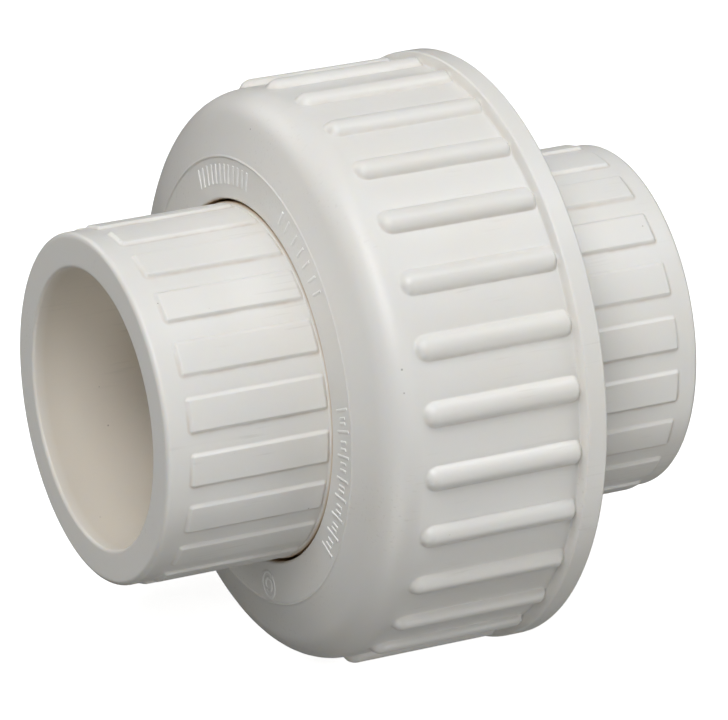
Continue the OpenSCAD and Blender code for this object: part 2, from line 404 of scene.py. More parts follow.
def grow(piece, tree, **sizes):
    """Puts the tree on the piece with these inputs, and turns the result into a plain mesh."""
    modifier = piece.modifiers.new(tree.name, "NODES")
    modifier.node_group = tree
    sockets = {
        s.name.replace(" ", "_").lower(): s.identifier
        for s in tree.interface.items_tree
        if s.item_type == "SOCKET" and s.in_out == "INPUT"
    }
    for key, value in sizes.items():
        modifier[sockets[key]] = value
    bpy.context.view_layer.update()
    graph = bpy.context.evaluated_depsgraph_get()
    old = piece.data
    mesh = bpy.data.meshes.new_from_object(
        piece.evaluated_get(graph), preserve_all_data_layers=True, depsgraph=graph)
    piece.modifiers.remove(modifier)
    piece.data = mesh
    mesh.name = piece.name
    bpy.data.meshes.remove(old)
    # a mesh that started empty brings an empty material slot: the finish is the only one kept
    mesh.materials.clear()
    mesh.materials.append(sizes["finish"])
    mesh.polygons.foreach_set("material_index", [0] * len(mesh.polygons))
    mesh.shade_smooth()
    return piece


def polar(net):
    """Place along X, distance from the axis, turn about it, and the unit direction outwards."""
    place = net.add("GeometryNodeInputPosition").outputs[0]
    x, y, z = net.add("ShaderNodeSeparateXYZ", {0: place}).outputs
    radius = net.length(y, z)
    turn = net.math("ARCTAN2", net.times(y, -1.0), z)
    out_y = net.over(y, radius)
    out_z = net.over(z, radius)
    return x, radius, turn, out_y, out_z


def across(net, turn, count, start, radius):
    """Arc length from the nearest centre of a pattern repeated around the axis."""
    step = net.over(2 * math.pi, count)
    half = net.times(step, 0.5)
    near = net.math("WRAP", net.minus(turn, start), half, net.times(half, -1.0))
    return net.times(near, radius)


def push_out(net, geometry, amount, out_y, out_z, foot):
    """Moves every point outwards by the amount and keeps how close it lies to the foot line."""
    offset = net.add("ShaderNodeCombineXYZ", {
        1: net.times(amount, out_y), 2: net.times(amount, out_z)})
    # the foot line, which carries the painted shade at the feet of pads and ribs, is measured before the
    # points move
    kept = net.add("GeometryNodeStoreNamedAttribute", {"Geometry": geometry, "Name": "foot", "Value": foot},
                   data_type="FLOAT", domain="POINT")
    moved = net.add("GeometryNodeSetPosition", {"Geometry": kept.outputs[0], "Offset": offset.outputs[0]})
    return moved.outputs[0]


def pad_tree():
    """Raises flat pads with sloped edges and round corners from a barrel."""
    tree, net, given = new_geometry_tree(
        "Grip pads", ("Radius", "Turn", "Width", "Height", "Slope", "Corner", "From", "To"), ("Count",))
    x, radius, turn, out_y, out_z = polar(net)
    side = across(net, turn, given["Count"], given["Turn"], given["Radius"])
    arc = net.math("ABSOLUTE", side)
    middle = net.times(net.plus(given["From"], given["To"]), 0.5)
    half_long = net.times(net.minus(given["To"], given["From"]), 0.5)
    along = net.math("ABSOLUTE", net.minus(x, middle))
    corner = given["Corner"]
    far_x = net.plus(net.minus(along, half_long), corner)
    far_s = net.plus(net.minus(arc, net.times(given["Width"], 0.5)), corner)
    over_x = net.math("MAXIMUM", far_x, 0.0)
    over_s = net.math("MAXIMUM", far_s, 0.0)
    outside = net.length(over_x, over_s)
    inside = net.math("MINIMUM", net.math("MAXIMUM", far_x, far_s), 0.0)
    edge = net.minus(net.plus(outside, inside), corner)
    share = net.blend(0.0, 1.0, net.over(net.times(edge, -1.0), given["Slope"]), kind="SMOOTHSTEP")
    skin = net.math("COMPARE", radius, given["Radius"], 0.02 * MM)
    amount = net.times(net.times(share, given["Height"]), skin)
    away = net.over(net.math("ABSOLUTE", net.minus(edge, -0.04 * MM)), 0.3 * MM)
    # painted shade: a darkening at the foot of each pad, stronger on one side, where shade falls on the
    # lower edges
    lower = net.blend(-0.2 * MM, 0.2 * MM, side, 0.12, 1.0)
    foot = net.times(net.blend(0.0, 1.0, away, 1.0, 0.0, kind="SMOOTHSTEP"), net.times(lower, skin))
    close_tree(net, push_out(net, given["Geometry"], amount, out_y, out_z, foot), given["Finish"])
    return tree


def rib_tree():
    """Raises round ribs with a round nose from the side of the nut, blended into it by a fillet."""
    tree, net, given = new_geometry_tree(
        "Grip ribs",
        ("Side", "Turn", "Round", "Height", "Fillet", "From", "To", "Nose", "Tail", "Inner"), ("Count",))
    x, radius, turn, out_y, out_z = polar(net)
    arc = across(net, turn, given["Count"], given["Turn"], given["Side"])
    rounding = given["Round"]
    ahead = net.minus(net.plus(given["From"], given["Nose"]), x)
    behind = net.minus(x, net.minus(given["To"], given["Tail"]))
    ahead = net.times(ahead, net.over(rounding, given["Nose"]))
    behind = net.times(behind, net.over(rounding, given["Tail"]))
    past = net.math("MAXIMUM", net.math("MAXIMUM", ahead, behind), 0.0)
    far = net.length(arc, past)
    left = net.minus(net.times(rounding, rounding), net.times(far, far))
    rise = net.math("SQRT", net.math("MAXIMUM", left, 0.0))
    drop = net.math("MAXIMUM", net.minus(far, rounding), 0.0)
    centre = net.minus(net.plus(given["Side"], given["Height"]), rounding)
    crest = net.minus(net.plus(centre, rise), net.times(drop, 8.0))
    blended = net.math("SMOOTH_MAX", radius, crest, given["Fillet"])
    skin = net.math("GREATER_THAN", radius, given["Inner"])
    amount = net.times(net.minus(blended, radius), skin)
    # painted shade: a darkening at the foot of each rib, stronger on one side, and at the foot of the rear
    # ring behind the ribs
    gap = net.over(net.math("ABSOLUTE", net.minus(radius, crest)), 0.55 * MM)
    lower = net.blend(-0.2 * MM, 0.2 * MM, arc, 0.15, 0.6)
    foot = net.times(net.blend(0.0, 1.0, gap, 1.0, 0.0, kind="SMOOTHSTEP"), lower)
    behind_ribs = net.over(net.math("ABSOLUTE", net.minus(x, given["To"])), 0.35 * MM)
    low_enough = net.math("LESS_THAN", radius, net.plus(given["Side"], 0.5 * MM))
    ring_foot = net.times(net.blend(0.0, 1.0, behind_ribs, 0.9, 0.0, kind="SMOOTHSTEP"), low_enough)
    foot = net.times(net.math("MAXIMUM", foot, ring_foot), skin)
    close_tree(net, push_out(net, given["Geometry"], amount, out_y, out_z, foot), given["Finish"])
    return tree


# Points across the sheet that a thread ridge is bent from: an odd number, with one in the middle
RIDGE_ROWS = 15
RIDGE_LEAN = math.tan(math.radians(30))


def thread_tree():
    """Sweeps one thread ridge along a helix about X; it fades into the root at both ends."""
    tree, net, given = new_geometry_tree(
        "Thread ridge", ("Root", "Start", "Pitch", "Turns", "Depth", "Top", "Side", "Sink"), ("Steps",))
    columns = net.times(given["Turns"], given["Steps"])
    sheet = net.add("GeometryNodeMeshGrid", {
        "Size X": 1.0, "Size Y": 1.0, "Vertices X": net.plus(columns, 1.0), "Vertices Y": RIDGE_ROWS})
    index = net.add("GeometryNodeInputIndex").outputs[0]
    column = net.math("FLOOR", net.over(net.plus(index, 0.5), float(RIDGE_ROWS)))
    row = net.minus(index, net.times(column, float(RIDGE_ROWS)))
    # across the ridge: foot, flank, edge, top, edge, flank, foot; the underside is closed later
    last = (RIDGE_ROWS - 1) / 2
    side = net.minus(row, last)
    sign = net.math("SIGN", side)
    reach = net.math("ABSOLUTE", side)
    half_top = net.times(given["Top"], 0.5)
    total = net.plus(given["Depth"], given["Sink"])
    # from the middle outwards, the first two rows share the top and the others the flank
    over_top = net.blend(0.0, 2.0, reach)
    down = net.blend(2.0, last, reach)
    ends = net.math("MINIMUM", column, net.minus(columns, column))
    share = net.blend(0.0, 1.0, net.over(ends, net.times(given["Steps"], 0.16)), kind="SMOOTHSTEP")
    softened = net.times(net.math("POWER", over_top, 3.0), 0.06 * MM)
    height = net.minus(net.minus(given["Depth"], softened), net.times(down, total))
    faded = net.times(net.plus(height, given["Sink"]), net.math("MAXIMUM", share, 0.1))
    height = net.minus(faded, given["Sink"])
    wide = net.plus(net.times(half_top, over_top), net.times(net.times(down, total), RIDGE_LEAN))
    wide = net.times(wide, sign)
    r = net.plus(given["Root"], net.times(height, given["Side"]))
    turn = net.times(net.over(column, given["Steps"]), 2 * math.pi)
    x = net.plus(net.plus(given["Start"], wide),
                 net.times(net.over(column, given["Steps"]), given["Pitch"]))
    place = net.add("ShaderNodeCombineXYZ", {
        0: x, 1: net.times(r, net.math("COSINE", turn)), 2: net.times(r, net.math("SINE", turn))})
    swept = net.add("GeometryNodeSetPosition", {"Geometry": sheet.outputs[0], "Position": place.outputs[0]})
    close_tree(net, swept.outputs[0], given["Finish"])
    return tree


def marks_tree(shape):
    """Sets raised marks on the nut's face at even steps along an arc: bars or blank rings."""
    tree, net, given = new_geometry_tree(
        "Raised " + shape,
        ("Face", "Radius", "From", "Step", "Long", "Wide", "Stroke", "Height", "Tilt", "Scatter"),
        ("Count", "Seed"))
    sunk = net.times(given["Height"], 0.6)
    if shape == "bars":
        half = net.times(net.minus(given["Long"], given["Stroke"]), 0.5)
        low = net.add("ShaderNodeCombineXYZ", {1: net.times(half, -1.0)})
        high = net.add("ShaderNodeCombineXYZ", {1: half})
        path = net.add("GeometryNodeCurvePrimitiveLine", {"Start": low.outputs[0], "End": high.outputs[0]})
        path = net.add("GeometryNodeResampleCurve", {"Curve": path.outputs[0], "Count": 2})
    else:
        path = net.add("GeometryNodeCurvePrimitiveCircle", {
            "Resolution": 40, "Radius": net.times(net.minus(given["Long"], given["Stroke"]), 0.5)})
        squeeze = net.add("ShaderNodeCombineXYZ", {
            0: net.over(given["Wide"], given["Long"]), 1: 1.0, 2: 1.0})
        path = net.add("GeometryNodeTransform", {"Geometry": path.outputs[0], "Scale": squeeze.outputs[0]})
    section = net.add("GeometryNodeCurvePrimitiveCircle", {
        "Resolution": 12, "Radius": net.times(given["Stroke"], 0.5)})
    stroke = net.add("GeometryNodeCurveToMesh", {
        "Curve": path.outputs[0], "Profile Curve": section.outputs[0], "Fill Caps": True})
    thickness = net.plus(given["Height"], sunk)
    flat = net.add("ShaderNodeCombineXYZ", {0: 1.0, 1: 1.0, 2: net.over(thickness, given["Stroke"])})
    shape_mesh = net.add("GeometryNodeTransform", {
        "Geometry": stroke.outputs[0], "Rotation": (0.0, -math.pi / 2, 0.0), "Scale": flat.outputs[0]})
    # points along the arc
    points = net.add("GeometryNodeMeshLine", {"Count": given["Count"]})
    index = net.add("GeometryNodeInputIndex").outputs[0]
    chance = net.add("FunctionNodeRandomValue", {
        "Min": -1.0, "Max": 1.0, "ID": index, "Seed": given["Seed"]}, data_type="FLOAT")
    jitter = [s for s in chance.outputs if s.type == "VALUE" and s.enabled][0]
    steps = net.plus(index, net.times(jitter, given["Scatter"]))
    turn = net.plus(given["From"], net.times(given["Step"], steps))
    x = net.minus(given["Face"], net.times(net.minus(given["Height"], sunk), 0.5))
    place = net.add("ShaderNodeCombineXYZ", {
        0: x,
        1: net.times(given["Radius"], net.times(net.math("COSINE", turn), -1.0)),
        2: net.times(given["Radius"], net.math("SINE", turn))})
    placed = net.add("GeometryNodeSetPosition", {
        "Geometry": points.outputs[0], "Position": place.outputs[0]})
    # each mark lies flat on the face, its length pointing away from the axis, then leans by the tilt
    aim = net.add("ShaderNodeCombineXYZ", {0: net.minus(net.plus(given["Tilt"], math.pi), turn)})
    marks = net.add("GeometryNodeInstanceOnPoints", {
        "Points": placed.outputs[0], "Instance": shape_mesh.outputs[0], "Rotation": aim.outputs[0]})
    joined = net.add("GeometryNodeJoinGeometry")
    net.tree.links.new(marks.outputs[0], joined.inputs[0])
    net.tree.links.new(given["Geometry"], joined.inputs[0])
    close_tree(net, joined.outputs[0], given["Finish"])
    return tree


# Materials ------------------------------------------------------------------

def new_material(name):
    """A new node material with its net and shader, or only the material if it was made before."""
    found = bpy.data.materials.get(name)
    if found:
        return found, None, None
    made = bpy.data.materials.new(name)
    made.use_nodes = True
    made.node_tree.nodes.clear()
    net = Net(made.node_tree)
    shader = net.add("ShaderNodeBsdfPrincipled")
    end = net.add("ShaderNodeOutputMaterial")
    net.tree.links.new(shader.outputs[0], end.inputs[0])
    return made, net, shader


def mix(net, share, first, second):
    """Blends from the first colour to the second by the share."""
    node = net.add("ShaderNodeMix", data_type="RGBA")
    net.feed(node.inputs[0], share)
    net.feed(node.inputs[6], first)
    net.feed(node.inputs[7], second)
    return node.outputs[2]


def raised_pvc(sizes):
    """The same plastic on the thin raised marks, painted brighter in patches as a painted highlight."""
    made, net, shader = new_material("raised_pvc")
    if net is None:
        return made
    place = net.add("ShaderNodeTexCoord").outputs["Object"]
    # painted highlight: the marks are painted brighter in patches
    painted_highlight = net.noise(place, 420.0, 3.0, 0.6)
    net.feed(shader.inputs["Base Color"], mix(
        net, net.blend(0.35, 0.65, painted_highlight), (*sizes.pvc, 1.0), (*sizes.painted_highlight, 1.0)))
    grain = net.noise(place, 2600.0, 3.0, 0.6)
    bump = net.add("ShaderNodeBump", {
        "Strength": 1.0, "Distance": 1.0, "Height": net.times(grain, 0.006 * MM)})
    net.feed(shader.inputs["Normal"], bump.outputs[0])
    shader.inputs["Roughness"].default_value = sizes.pvc_gloss - 0.06
    shader.inputs["IOR"].default_value = 1.53
    return made


def moulded_pvc(sizes):
    """Warm white moulded PVC: soft gloss, faint colour drift, fine specks and scuffs, with painted shade at
    the feet of pads and ribs, in the bores and in the hub's gap.
    """
    made, net, shader = new_material("moulded_pvc")
    if net is None:
        return made
    place = net.add("ShaderNodeTexCoord").outputs["Object"]
    drift = net.noise(place, 70.0, 3.0, 0.55)
    base = mix(net, net.blend(0.38, 0.66, drift, 0.0, 0.55),
               (*sizes.pvc, 1.0), (*sizes.pvc_warm, 1.0))
    # painted shade: inside the bores the plastic is painted darker and warmer near the mouth and lighter
    # deeper in, and the narrow gap round the hub is painted brown as shade
    x, y, z = net.add("ShaderNodeSeparateXYZ", {0: place}).outputs
    radius = net.length(y, z)
    inside = net.blend(17.3 * MM, 16.9 * MM, radius)
    deep = net.blend(35.0 * MM, 33.4 * MM, net.math("ABSOLUTE", x), 0.3, 1.0)
    depth = net.blend(33.0 * MM, 20.0 * MM, net.math("ABSOLUTE", x))
    bore = mix(net, depth, (*sizes.bore, 1.0), (*sizes.deep_bore_painted_light, 1.0))
    base = mix(net, net.times(inside, deep), base, bore)
    # painted shade with some dirt: the narrow gap between the nut's hole and the hub is painted dark brown
    gap_middle = 21.68 * MM
    near = net.blend(0.25 * MM, 0.5 * MM, net.math("ABSOLUTE", net.minus(radius, gap_middle)), 1.0, 0.0)
    within = net.times(net.blend(-14.5 * MM, -13.9 * MM, x), net.math("LESS_THAN", x, 0.0))
    base = mix(net, net.times(near, within), base, (*sizes.gap, 1.0))
    # painted shade at the feet of pads and ribs, broken up so that it isn't an even line
    foot = net.add("ShaderNodeAttribute", attribute_name="foot").outputs["Fac"]
    patchy = net.noise(place, 260.0, 2.0, 0.6)
    tint = net.times(foot, net.blend(0.35, 0.7, patchy, 0.10, 0.55))
    base = mix(net, tint, base, (*sizes.recess, 1.0))
    # fine specks, only in a few cells
    cells = net.add("ShaderNodeTexVoronoi", {"Vector": place, "Scale": 380.0, "Randomness": 1.0})
    lot = net.add("ShaderNodeSeparateColor", {0: cells.outputs["Color"]})
    size = net.times(net.blend(0.55, 1.0, lot.outputs[0]), 0.05)
    speck = net.times(net.math("LESS_THAN", cells.outputs["Distance"], size),
                     net.blend(0.0, 1.0, lot.outputs[1], 0.2, 0.7))
    base = mix(net, speck, base, (*sizes.speck, 1.0))
    # faint scuffs: thin broken streaks along the axis, in a few patches
    along = net.add("ShaderNodeVectorMath", {0: place, 1: (150.0, 2400.0, 2400.0)}, operation="MULTIPLY")
    streaks = net.noise(along.outputs[0], 1.0, 1.0, 0.4)
    patches = net.noise(place, 110.0, 1.0, 0.5)
    scuff = net.times(net.blend(0.62, 0.78, streaks, 0.0, 0.22),
                     net.blend(0.52, 0.66, patches))
    base = mix(net, scuff, base, (*sizes.scuff, 1.0))
    net.feed(shader.inputs["Base Color"], base)
    # gloss varies slowly with handling
    worn = net.noise(place, 130.0, 4.0, 0.6)
    net.feed(shader.inputs["Roughness"],
             net.blend(0.3, 0.7, worn, sizes.pvc_gloss - 0.06, sizes.pvc_gloss + 0.09))
    shader.inputs["IOR"].default_value = 1.53
    shader.inputs["Subsurface Weight"].default_value = 0.3
    shader.inputs["Subsurface Radius"].default_value = (1.0, 0.8, 0.55)
    shader.inputs["Subsurface Scale"].default_value = 0.9 * MM
    # moulded surface: slow waves and a fine grain
    waves = net.noise(place, 210.0, 1.0, 0.4)
    grain = net.noise(place, 2600.0, 3.0, 0.6)
    height = net.plus(net.times(waves, 0.02 * MM),
                      net.times(grain, 0.006 * MM))
    bump = net.add("ShaderNodeBump", {"Strength": 1.0, "Distance": 1.0, "Height": height})
    net.feed(shader.inputs["Normal"], bump.outputs[0])
    return made


def moulded_rubber(sizes):
    """Black moulded rubber with a dull, dusty surface."""
    made, net, shader = new_material("moulded_rubber")
    if net is None:
        return made
    place = net.add("ShaderNodeTexCoord").outputs["Object"]
    dust = net.noise(place, 420.0, 5.0, 0.65)
    base = mix(net, net.blend(0.5, 0.75, dust, 0.0, 0.35),
               (*sizes.rubber, 1.0), (0.075, 0.073, 0.07, 1.0))
    net.feed(shader.inputs["Base Color"], base)
    net.feed(shader.inputs["Roughness"], net.blend(0.3, 0.7, dust, 0.48, 0.72))
    shader.inputs["IOR"].default_value = 1.5
    grain = net.noise(place, 1900.0, 2.0, 0.5)
    bump = net.add("ShaderNodeBump", {
        "Strength": 1.0, "Distance": 1.0, "Height": net.times(grain, 0.02 * MM)})
    net.feed(shader.inputs["Normal"], bump.outputs[0])
    return made


# Pieces ---------------------------------------------------------------------

def barrel_turns(sizes, turn):
    """Rows around a barrel: close together over the slopes of the pads."""
    half = sizes.pad_width / 2
    slope = [half - sizes.pad_slope + k * sizes.pad_slope / 5 for k in range(6)]
    offsets = [0.0, half * 0.4, half - 0.62 * MM, half - 0.52 * MM] + slope
    offsets += [half + 0.1 * MM, half + 0.35 * MM, math.pi * sizes.barrel / sizes.pad_count]
    return spread(sizes.pad_count, turn, offsets, sizes.barrel)


def pad_stations(sizes, low, high):
    """Places along a barrel: close together over the slopes at the pads' ends."""
    near = close_steps(-0.25 * MM, sizes.pad_corner + 0.25 * MM, 0.09 * MM)
    between = [low + (high - low) * k / 4 for k in (1, 2, 3)]
    return [low + d for d in near] + [high - d for d in near] + between


class PIPEUNION_OT_tail_piece(bpy.types.Operator):
    """Builds the tail piece: socket barrel, grip pads and the collar inside the nut"""

    bl_idname = "pipe_union.tail_piece"
    bl_label = "Tail Piece"

    def execute(self, context):
        sizes = context.scene.union_barrels
        mouth, face = TAIL_LOW.x, TAIL_HIGH.x
        front = NUT_LOW.x + context.scene.union_nut.circle_height
        hub = front + sizes.hub_recess
        collar = TAIL_HIGH.z
        collar_front = front + context.scene.union_nut.front_wall + 0.1 * MM
        edge = sizes.collar_edge
        outline = rounded([
            (mouth, sizes.socket, sizes.mouth_edge),
            (mouth, sizes.barrel, sizes.barrel_edge),
            (hub, sizes.barrel, 0.04 * MM),
            (hub + sizes.hub_slope, sizes.barrel + sizes.hub_height, 0.18 * MM),
            (collar_front, sizes.barrel + sizes.hub_height, 0.6 * MM),
            (collar_front, collar, edge),
            (face, collar, edge),
            (face, sizes.waterway, edge),
            (mouth + sizes.socket_depth, sizes.waterway, 0.25 * MM),
            (mouth + sizes.socket_depth, sizes.socket, 0.25 * MM),
        ])
        low, high = mouth + sizes.tail_setback, hub
        outline = with_stations(outline, sizes.barrel, pad_stations(sizes, low, high))
        piece = turned("tail_barrel", outline, barrel_turns(sizes, sizes.tail_turn))
        grow(piece, pad_tree(), count=sizes.pad_count, radius=sizes.barrel, turn=sizes.tail_turn,
             width=sizes.pad_width, height=sizes.pad_height, slope=sizes.pad_slope,
             corner=sizes.pad_corner, to=high, finish=moulded_pvc(context.scene.union_finish),
             **{"from": low})
        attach(piece, "tail")
        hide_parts("tail_piece")
        return {"FINISHED"}


class PIPEUNION_OT_mouth_mark(bpy.types.Operator):
    """Builds the blank oval moulded on the tail piece's mouth face"""

    bl_idname = "pipe_union.mouth_mark"
    bl_label = "Mouth Mark"

    def execute(self, context):
        piece = link("mouth_mark", bpy.data.meshes.new("mouth_mark"))
        finish = raised_pvc(context.scene.union_finish)
        grow(piece, marks_tree("rings"), count=1, seed=3, face=TAIL_LOW.x + 0.1 * MM, radius=18.9 * MM,
             step=0.1, long=2.3 * MM, wide=4.2 * MM, stroke=0.22 * MM, height=0.1 * MM,
             tilt=0.0, scatter=0.0, finish=finish, **{"from": math.radians(14)})
        outward(piece.data)
        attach(piece, "tail")
        return {"FINISHED"}


class PIPEUNION_OT_threaded_end(bpy.types.Operator):
    """Builds the threaded end: socket barrel, grip pads, thread core and the seal's groove"""

    bl_idname = "pipe_union.threaded_end"
    bl_label = "Threaded End"

    def execute(self, context):
        sizes = context.scene.union_barrels
        thread = context.scene.union_thread
        mouth, face = END_HIGH.x, END_LOW.x
        edge = sizes.collar_edge
        groove_floor = RING_HIGH.x
        ring_middle = sizes.seal_middle
        room = RING_HIGH.z - ring_middle + 0.4 * MM
        outline = rounded([
            (mouth, sizes.socket, sizes.mouth_edge),
            (mouth, sizes.barrel, sizes.barrel_edge),
            (thread.back, sizes.barrel, 0.8 * MM),
            (thread.back, thread.end_root, edge),
            (face, thread.end_root, edge),
            (face, ring_middle + room, 0.2 * MM),
            (groove_floor, ring_middle + room, 0.3 * MM),
            (groove_floor, ring_middle - room, 0.3 * MM),
            (face, ring_middle - room, 0.2 * MM),
            (face, sizes.waterway, edge),
            (mouth - sizes.socket_depth, sizes.waterway, 0.25 * MM),
            (mouth - sizes.socket_depth, sizes.socket, 0.25 * MM),
        ])
        low, high = NUT_HIGH.x + sizes.pad_gap, mouth - sizes.end_setback
        outline = with_stations(outline, sizes.barrel, pad_stations(sizes, low, high))
        piece = turned("threaded_barrel", outline, barrel_turns(sizes, sizes.end_turn))
        grow(piece, pad_tree(), count=sizes.pad_count, radius=sizes.barrel, turn=sizes.end_turn,
             width=sizes.pad_width, height=sizes.pad_height, slope=sizes.pad_slope,
             corner=sizes.pad_corner, to=high, finish=moulded_pvc(context.scene.union_finish),
             **{"from": low})
        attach(piece, "threaded")
        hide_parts("threaded_end")
        return {"FINISHED"}


class PIPEUNION_OT_threads(bpy.types.Operator):
    """Builds the two thread ridges, one on the threaded end and one inside the nut"""

    bl_idname = "pipe_union.threads"
    bl_label = "Threads"

    def execute(self, context):
        thread = context.scene.union_thread
        nut = context.scene.union_nut
        finish = moulded_pvc(context.scene.union_finish)
        tree = thread_tree()
        for name, body, root, start, side in (
                ("male_thread", "threaded", thread.end_root, thread.end_start, 1.0),
                ("female_thread", "nut", nut.root, thread.nut_start, -1.0)):
            piece = link(name, bpy.data.meshes.new(name))
            grow(piece, tree, steps=96, root=root, start=start, pitch=thread.pitch, turns=thread.turns,
                 depth=thread.depth, top=thread.top, side=side, sink=0.35 * MM, finish=finish)
            close_ends(piece.data)
            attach(piece, body)
        return {"FINISHED"}


def close_ends(mesh):
    """Closes a swept sheet below and at its two ends, and turns its faces outwards."""
    shape = bmesh.new()
    shape.from_mesh(mesh)
    rows = RIDGE_ROWS
    shape.verts.ensure_lookup_table()
    columns = len(shape.verts) // rows
    for i in range(columns - 1):
        a, b = i * rows, (i + 1) * rows
        shape.faces.new([shape.verts[k] for k in (a, a + rows - 1, b + rows - 1, b)])
    for start in (0, (columns - 1) * rows):
        shape.faces.new([shape.verts[start + k] for k in range(rows)])
    bmesh.ops.recalc_face_normals(shape, faces=shape.faces[:])
    shape.to_mesh(mesh)
    shape.free()
    outward(mesh)


class PIPEUNION_OT_union_nut(bpy.types.Operator):
    """Builds the union nut: domed front, round ribs, plain rear ring and inner shoulder"""

    bl_idname = "pipe_union.union_nut"
    bl_label = "Union Nut"

    def execute(self, context):
        sizes = context.scene.union_nut
        front, rear = NUT_LOW.x + sizes.circle_height, NUT_HIGH.x
        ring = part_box("union_nut")[1].z
        shoulder = front + sizes.front_wall
        ring_front = rear - sizes.ring_length
        # the sloped band and the side meet at a corner that the large round cuts off
        round_x = front + sizes.face_fall + sizes.shoulder
        round_r = sizes.side - sizes.shoulder
        face_r = round_r - sizes.face_slope
        span = math.hypot(round_x - front, sizes.face_slope)
        lean = math.atan2(sizes.face_slope, round_x - front) + math.asin(sizes.shoulder / span)
        corner_x = front + (sizes.side - face_r) / math.tan(lean)
        fine = 0.05 * MM
        outline = rounded([
            (front, sizes.hole, 0.35 * MM),
            (front, face_r - 0.42 * MM, fine),
            (front - sizes.circle_height, face_r - 0.26 * MM, fine),
            (front - sizes.circle_height, face_r - 0.16 * MM, fine),
            (front, face_r, fine),
            (corner_x, sizes.side, sizes.shoulder),
            (ring_front - sizes.ring_wall, sizes.side, 0.22 * MM),
            (ring_front, ring, 0.3 * MM),
            (rear, ring, 0.35 * MM),
            (rear, sizes.root, 0.5 * MM),
            (shoulder, sizes.root, 0.5 * MM),
            (shoulder, sizes.hole, 0.4 * MM),
        ], step=math.radians(9))
        low, high = front + sizes.rib_setback, ring_front - 0.1 * MM
        stations = close_steps(low - 0.1 * MM, low + 1.9 * MM, 0.15 * MM)
        stations += close_steps(high - 1.3 * MM, high, 0.15 * MM)
        stations += [low + (high - low) * k / 4 for k in (1, 2, 3)]
        outline = with_stations(outline, sizes.side, stations)
        foot = math.sqrt(sizes.rib_radius ** 2 - (sizes.rib_radius - sizes.rib_height) ** 2)
        offsets = [0.0, 0.35 * MM, 0.7 * MM, 0.95 * MM, 1.15 * MM, 1.3 * MM, 1.42 * MM,
                   foot, foot + 0.08 * MM, foot + 0.2 * MM, foot + 0.5 * MM, foot + 1.2 * MM,
                   math.pi * sizes.side / sizes.rib_count]
        piece = turned("nut_shell", outline, spread(sizes.rib_count, sizes.rib_turn, offsets, sizes.side))
        grow(piece, rib_tree(), count=sizes.rib_count, side=sizes.side, turn=sizes.rib_turn,
             round=sizes.rib_radius, height=sizes.rib_height, fillet=sizes.rib_fillet,
             to=high, nose=sizes.rib_radius, tail=1.0 * MM, inner=sizes.side - 3 * MM,
             finish=moulded_pvc(context.scene.union_finish), **{"from": low})
        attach(piece, "nut")
        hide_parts("union_nut")
        return {"FINISHED"}


class PIPEUNION_OT_nut_marks(bpy.types.Operator):
    """Builds the plain raised marks on the nut's face: ticks, slanted bars and blank rings"""

    bl_idname = "pipe_union.nut_marks"
    bl_label = "Nut Marks"

    def execute(self, context):
        sizes = context.scene.union_nut
        face = NUT_LOW.x + sizes.circle_height
        finish = raised_pvc(context.scene.union_finish)
        bars, rings = marks_tree("bars"), marks_tree("rings")
        piece = link("nut_marks", bpy.data.meshes.new("nut_marks"))
        radius = 24.9 * MM
        # (kind, from, step, count, long, wide, tilt): angles in degrees and lengths in millimetres
        rows = (
            (bars, 118, -2.8, 12, 2.7, 0.0, 10),
            (bars, 66, -4.4, 7, 2.5, 0.0, 12),
            (bars, 8, -6.6, 8, 3.1, 0.0, -12),
            (bars, 5.8, -6.6, 7, 1.6, 0.0, -12),
            (bars, 3.6, -6.6, 7, 1.6, 0.0, -12),
            (rings, -82, -8.0, 1, 3.6, 3.6, 0),
            (rings, -82, -8.0, 1, 2.0, 2.0, 0),
            (bars, 190, -3.6, 10, 2.7, 0.0, 10),
            (bars, 235, -5.0, 5, 2.4, 0.0, 0),
        )
        for i, (tree, start, step, count, long, wide, tilt) in enumerate(rows):
            grow(piece, tree, count=count, seed=11 + i, face=face, radius=radius,
                 step=math.radians(step), long=long * MM, wide=wide * MM, stroke=0.36 * MM,
                 height=sizes.circle_height * 0.95, tilt=math.radians(tilt), scatter=0.08,
                 finish=finish, **{"from": math.radians(start)})
        outward(piece.data)
        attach(piece, "nut")
        return {"FINISHED"}


class PIPEUNION_OT_parting_lines(bpy.types.Operator):
    """Builds the two fine lines that the mould's halves leave across the nut's rear ring"""

    bl_idname = "pipe_union.parting_lines"
    bl_label = "Parting Lines"

    def execute(self, context):
        sizes = context.scene.union_nut
        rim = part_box("union_nut")[1].z
        low, high = NUT_HIGH.x - sizes.ring_length + 0.3 * MM, NUT_HIGH.x - 0.3 * MM
        half, rise = sizes.parting_width / 2, 0.05 * MM
        profile = [
            (-half, -rise), (-half, 0.0), (-0.5 * half, 0.8 * rise), (0.0, rise),
            (0.5 * half, 0.8 * rise), (half, 0.0), (half, -rise)]
        points, faces = [], []
        for turn in (sizes.parting_turn, sizes.parting_turn + math.pi):
            base = len(points)
            for x in (low, high):
                for side, up in profile:
                    about, radius = turn + side / rim, rim + up - rise
                    points.append((x, -radius * math.sin(about), radius * math.cos(about)))
            count = len(profile)
            faces += [(base + k, base + (k + 1) % count, base + count + (k + 1) % count, base + count + k)
                      for k in range(count)]
            faces += [tuple(base + k for k in range(count)), tuple(base + count + k for k in range(count))]
        mesh = bpy.data.meshes.new("parting_lines")
        mesh.from_pydata(points, [], faces)
        piece = link("parting_lines", mesh)
        mesh.materials.append(raised_pvc(context.scene.union_finish))
        outward(mesh)
        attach(piece, "nut")
        return {"FINISHED"}


